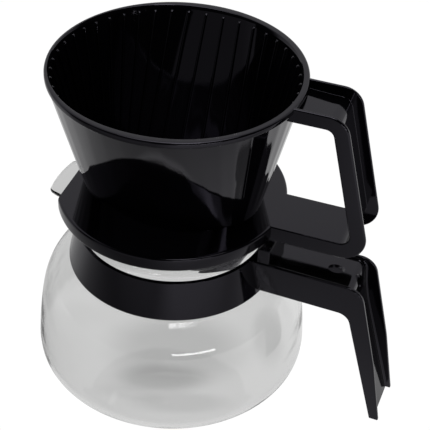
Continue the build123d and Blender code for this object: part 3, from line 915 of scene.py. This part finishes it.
def round_cutter(name, centre, axis, r, half, seg=48):
    bm = bmesh.new()
    bmesh.ops.create_cone(bm, cap_ends=True, segments=seg, radius1=r * MM, radius2=r * MM, depth=2 * half * MM)
    q = Vector((0, 0, 1)).rotation_difference(Vector(axis)).to_matrix().to_4x4()
    bmesh.ops.transform(bm, matrix=Matrix.Translation(Vector(centre) * MM) @ q, verts=bm.verts)
    me = bpy.data.meshes.new(name)
    bm.to_mesh(me)
    bm.free()
    o = bpy.data.objects.new(name, me)
    bpy.context.scene.collection.objects.link(o)
    return o


def cove(name, side, c=1.3, n=5):
    """rounded inner corner between the web and a rail"""
    path = np.array(corner_path([WEB_LINE[i] for i in range(4)] + [(125.5, 1.2, 0)], 6, 12))
    d = np.gradient(path, axis=0)
    d /= np.linalg.norm(d, axis=1)[:, None]
    nrm = np.stack([-d[:, 1], d[:, 0]], 1)
    yr = ARM_W - RAIL_T
    sec = [(yr - c + c * math.sin(t), c - c * math.cos(t)) for t in np.linspace(0, math.pi / 2, n)] + [(yr + 0.4, c), (yr + 0.4, -0.4), (yr - c, -0.4)]
    verts, faces, m = [], [], len(sec)
    for q, w in zip(path, nrm):
        for y, h in sec:
            verts.append((q[0] + w[0] * h, side * y, q[1] + w[1] * h))
    for k in range(len(path) - 1):
        for j in range(m):
            l = (j + 1) % m
            faces.append((k * m + j, k * m + l, (k + 1) * m + l, (k + 1) * m + j))
    faces.append(tuple(range(m)))
    faces.append(tuple((len(path) - 1) * m + j for j in range(m)))
    o = make(name, verts, faces)
    start_on_band(o)
    return o


coves = [cove("cove_a", -1), cove("cove_b", 1)]
h1 = round_cutter("h1", (0, 0, 0), (0, 0, 1), HOLE_R, 6)
h1.data.transform(Matrix.Translation((HOLE1_X * MM, 0.0005, 84.9 * MM)) @ Matrix.Diagonal((1.06, 0.82, 1.0, 1.0)))
cut(web, h1)
cut(web, round_cutter("h2", (103.5, 0, HOLE2_Z), (1, 0, 0), HOLE_R, 8))
# block that rises behind the band
n_arc = 24
block = []
ya = 13.5
arc = []
for k in range(n_arc + 1):
    y = ya - 2 * ya * k / n_arc
    arc.append((math.sqrt(54.2 ** 2 - y * y), y))
plan = [(59.0, -ya), (59.0, ya)] + arc
plan = rounded(plan, [0.8, 0.8] + [0] * len(arc), 4)
bl = slab("root_block", plan, 83.4, 96.9, 0.0, 0.6)
for v in bl.data.vertices:
    v.co = Vector((v.co.x, v.co.z, v.co.y))
bm = bmesh.new()
bm.from_mesh(bl.data)
bmesh.ops.recalc_face_normals(bm, faces=bm.faces)
bm.to_mesh(bl.data)
bm.free()
bl.data.shade_smooth()
ear_a = soft_box("ear_a", (56.6, 5.1, 69.9), (64.0, 7.3, 84.5), 0.5)
ear_b = soft_box("ear_b", (56.6, -7.3, 69.9), (64.0, -5.1, 84.5), 0.5)
arm = join("carafe_handle_visual", [rail_a, rail_b, web, bl, ear_a, ear_b] + coves)
even_normals(arm, 40)
x_most = float(CAD_X1) - 0.00002
for v in arm.data.vertices:                      # the leg's tip stays inside the model's box
    v.co.x = min(v.co.x, x_most)
finish_piece(arm, "carafe", "black_handle", MAT_ARM, "carafe_handle")

for n in ("clamp_screw", "clamp_nut"):
    o = frame["nodes"][n]
    o.data.materials.clear()
    o.data.materials.append(MAT_STEEL)

# ------------------------------------------------------------------ floor and light
def emitter(name, col, strength):
    m = bpy.data.materials.new(name)
    m.use_nodes = True
    nt = m.node_tree
    nt.nodes.clear()
    out = node(nt, "ShaderNodeOutputMaterial")
    em = node(nt, "ShaderNodeEmission")
    put(em, "Color", (*col, 1))
    put(em, "Strength", strength)
    nt.links.new(em.outputs[0], out.inputs[0])
    return m, nt, em


def plane(name, size, z):
    me = bpy.data.meshes.new(name)
    me.from_pydata([(-size, -size, z), (size, -size, z), (size, size, z), (-size, size, z)], [], [(0, 1, 2, 3)])
    o = bpy.data.objects.new(name, me)
    bpy.context.scene.collection.objects.link(o)
    return o


# the sheet that the camera sees, plain white
seen = plane("floor_seen", 6.0, -0.0006)
mm_, _, _ = emitter("floor_white", (1.0, 1.0, 1.0), 1.02)
seen.data.materials.append(mm_)
seen.visible_diffuse = False
seen.visible_glossy = False
seen.visible_transmission = False
seen.visible_shadow = False
# the same sheet as the object sees it: a glowing sheet with painted light and shade, darker towards the front where a
# painted soft shadow and contact shade fall
glow = plane("floor_glow", 6.0, -0.0004)
gm, nt, em = emitter("floor_painted_light_and_shade", (1.0, 1.0, 1.0), 1.0)
tc = node(nt, "ShaderNodeTexCoord")
sx = node(nt, "ShaderNodeSeparateXYZ")
nt.links.new(tc.outputs["Object"], sx.inputs[0])
dv = node(nt, "ShaderNodeVectorMath", operation="DOT_PRODUCT")
dv.inputs[1].default_value = (-0.37, 0.93, 0.0)
nt.links.new(tc.outputs["Object"], dv.inputs[0])
mr = node(nt, "ShaderNodeMapRange")
put(mr, "From Min", -0.40); put(mr, "From Max", 0.40); put(mr, "To Min", 0.0); put(mr, "To Max", 1.0)
nt.links.new(dv.outputs["Value"], mr.inputs["Value"])
cr_ = node(nt, "ShaderNodeValToRGB")
cr_.color_ramp.interpolation = "B_SPLINE"
while len(cr_.color_ramp.elements) < 8:
    cr_.color_ramp.elements.new(0.5)
for e_, (t_, v_) in zip(cr_.color_ramp.elements, [(0.0, 0.36), (0.15, 0.31), (0.25, 0.23), (0.31, 0.16), (0.40, 0.22), (0.49, 0.40), (0.56, 0.60), (0.9, 0.66)]):
    e_.position = t_
    e_.color = (v_, v_, v_, 1)
nt.links.new(mr.outputs[0], cr_.inputs[0])


def spot(x0, y0, a, b_, turn, amount, lo=0.45, hi=1.2):
    """soft elliptical patch of painted shade on the floor"""
    mp_ = node(nt, "ShaderNodeMapping", vector_type="TEXTURE")
    mp_.inputs["Location"].default_value = (x0, y0, 0)
    mp_.inputs["Rotation"].default_value = (0, 0, math.radians(turn))
    mp_.inputs["Scale"].default_value = (a, b_, 1)
    nt.links.new(tc.outputs["Object"], mp_.inputs["Vector"])
    ln_ = node(nt, "ShaderNodeVectorMath", operation="LENGTH")
    nt.links.new(mp_.outputs[0], ln_.inputs[0])
    mr_ = node(nt, "ShaderNodeMapRange", interpolation_type="SMOOTHSTEP")
    put(mr_, "From Min", lo); put(mr_, "From Max", hi); put(mr_, "To Min", 1.0 - amount); put(mr_, "To Max", 1.0)
    nt.links.new(ln_.outputs["Value"], mr_.inputs["Value"])
    return mr_.outputs[0]


# painted pool of light: under the glass the floor is lit through it
und = spot(0.0, 0.0, 0.088, 0.088, 0, 1.0, 0.87, 0.965)
mixu = node(nt, "ShaderNodeMix", data_type="FLOAT")
mixu.inputs["A"].default_value = 0.665
nt.links.new(und, mixu.inputs["Factor"])
# and painted light, brighter to the handle's side
dx_ = node(nt, "ShaderNodeVectorMath", operation="DOT_PRODUCT")
dx_.inputs[1].default_value = (0.96, 0.28, 0.0)
nt.links.new(tc.outputs["Object"], dx_.inputs[0])
mrx = node(nt, "ShaderNodeMapRange", interpolation_type="SMOOTHSTEP")
put(mrx, "From Min", -0.07); put(mrx, "From Max", 0.06); put(mrx, "To Min", -0.25); put(mrx, "To Max", 0.72)
nt.links.new(dx_.outputs["Value"], mrx.inputs["Value"])
mrw = node(nt, "ShaderNodeMapRange", interpolation_type="SMOOTHSTEP")
put(mrw, "From Min", -0.02); put(mrw, "From Max", 0.06); put(mrw, "To Min", 1.0); put(mrw, "To Max", 0.35)
nt.links.new(dv.outputs["Value"], mrw.inputs["Value"])
mxw = node(nt, "ShaderNodeMath", operation="MULTIPLY_ADD")
nt.links.new(mrx.outputs[0], mxw.inputs[0]); nt.links.new(mrw.outputs[0], mxw.inputs[1])
mxw.inputs[2].default_value = 1.0
mux = node(nt, "ShaderNodeMath", operation="MULTIPLY")
nt.links.new(cr_.outputs[0], mux.inputs[0]); nt.links.new(mxw.outputs[0], mux.inputs[1])
nt.links.new(mux.outputs[0], mixu.inputs["B"])
val = mixu.outputs["Result"]
# painted soft shadows on the floor, under the carafe and just in front of it, where the cone and collar block the light
for args in ((0.0075, -0.031, 0.028, 0.0115, 22, 0.24), (0.0245, -0.0435, 0.030, 0.0085, 22, 0.15), (0.006, -0.006, 0.042, 0.032, 22, 0.24), (0.051, 0.025, 0.010, 0.026, 22, 0.15), (-0.004, -0.048, 0.020, 0.006, 10, 0.08)):
    mu_ = node(nt, "ShaderNodeMath", operation="MULTIPLY")
    nt.links.new(val, mu_.inputs[0])
    nt.links.new(spot(*args), mu_.inputs[1])
    val = mu_.outputs[0]
nt.links.new(val, em.inputs["Strength"])
glow.data.materials.append(gm)
glow.visible_camera = False

world = bpy.data.worlds.new("studio")
bpy.context.scene.world = world
world.use_nodes = True
nt = world.node_tree
nt.nodes.clear()
out = node(nt, "ShaderNodeOutputWorld")
bg = node(nt, "ShaderNodeBackground")
nt.links.new(bg.outputs[0], out.inputs[0])
tc = node(nt, "ShaderNodeTexCoord")
dv = node(nt, "ShaderNodeVectorMath", operation="DOT_PRODUCT")
dv.inputs[1].default_value = (-0.37, 0.93, 0.0)
nt.links.new(tc.outputs["Generated"], dv.inputs[0])
mr = node(nt, "ShaderNodeMapRange")
put(mr, "From Min", -0.5); put(mr, "From Max", 0.7); put(mr, "To Min", 0.16); put(mr, "To Max", 0.72)
nt.links.new(dv.outputs["Value"], mr.inputs["Value"])
sz = node(nt, "ShaderNodeSeparateXYZ")
nt.links.new(tc.outputs["Generated"], sz.inputs[0])
m1 = node(nt, "ShaderNodeMapRange", interpolation_type="SMOOTHSTEP")
put(m1, "From Min", 0.475); put(m1, "From Max", 0.505); put(m1, "To Min", 0.0); put(m1, "To Max", 1.0)
arch = node(nt, "ShaderNodeMath", operation="MULTIPLY_ADD")
nt.links.new(arch.outputs[0], m1.inputs["Value"])
m2 = node(nt, "ShaderNodeMapRange", interpolation_type="SMOOTHSTEP")
put(m2, "From Min", 0.0); put(m2, "From Max", 0.25); put(m2, "To Min", 0.95); put(m2, "To Max", 0.0)
nt.links.new(dv.outputs["Value"], m2.inputs["Value"])
side = node(nt, "ShaderNodeVectorMath", operation="DOT_PRODUCT")
side.inputs[1].default_value = (0.943, -0.333, 0.0)
nt.links.new(tc.outputs["Generated"], side.inputs[0])
off = node(nt, "ShaderNodeMath", operation="ADD")
off.inputs[1].default_value = 0.06
nt.links.new(side.outputs["Value"], off.inputs[0])
ab = node(nt, "ShaderNodeMath", operation="ABSOLUTE")
nt.links.new(off.outputs[0], ab.inputs[0])
sq = node(nt, "ShaderNodeMath", operation="MULTIPLY")
nt.links.new(ab.outputs[0], sq.inputs[0]); nt.links.new(ab.outputs[0], sq.inputs[1])
nt.links.new(sq.outputs[0], arch.inputs[0])
arch.inputs[1].default_value = 0.45
nt.links.new(sz.outputs["Z"], arch.inputs[2])
ms = node(nt, "ShaderNodeMapRange", interpolation_type="SMOOTHSTEP")
put(ms, "From Min", 0.41); put(ms, "From Max", 0.46); put(ms, "To Min", 0.0); put(ms, "To Max", 1.0)
nt.links.new(ab.outputs[0], ms.inputs["Value"])
mxx = node(nt, "ShaderNodeMath", operation="MAXIMUM")
nt.links.new(m1.outputs[0], mxx.inputs[0]); nt.links.new(ms.outputs[0], mxx.inputs[1])
m3 = node(nt, "ShaderNodeMath", operation="MULTIPLY")
nt.links.new(mxx.outputs[0], m3.inputs[0]); nt.links.new(m2.outputs[0], m3.inputs[1])
m4 = node(nt, "ShaderNodeMath", operation="SUBTRACT")
m4.inputs[0].default_value = 1.0
nt.links.new(m3.outputs[0], m4.inputs[1])
m5 = node(nt, "ShaderNodeMath", operation="MULTIPLY")
nt.links.new(mr.outputs[0], m5.inputs[0]); nt.links.new(m4.outputs[0], m5.inputs[1])
nt.links.new(m5.outputs[0], bg.inputs["Strength"])


def area(name, loc, target, size, energy, col=(1, 1, 1)):
    ld = bpy.data.lights.new(name, "AREA")
    ld.shape = "RECTANGLE"
    ld.size, ld.size_y = size
    ld.energy = energy
    ld.color = col
    o = bpy.data.objects.new(name, ld)
    bpy.context.scene.collection.objects.link(o)
    o.location = loc
    d = Vector(target) - Vector(loc)
    o.rotation_euler = d.to_track_quat("-Z", "Y").to_euler()
    return o


area("soft_top", (0.05, 0.1, 1.3), (0, 0, 0.1), (0.9, 0.6), 3.0)
area("soft_front", (0.21, -0.25, 1.22), (0, 0, 0.1), (0.30, 0.09), 0.40)
area("strip_front", (0.640, -0.763, 0.22), (0, 0, 0.06), (0.62, 0.06), 0.75)

vs = bpy.context.scene.view_settings
vs.view_transform = "Standard"
vs.look = "None"
vs.exposure = 0.0
vs.gamma = 1.0

bpy.context.view_layer.update()
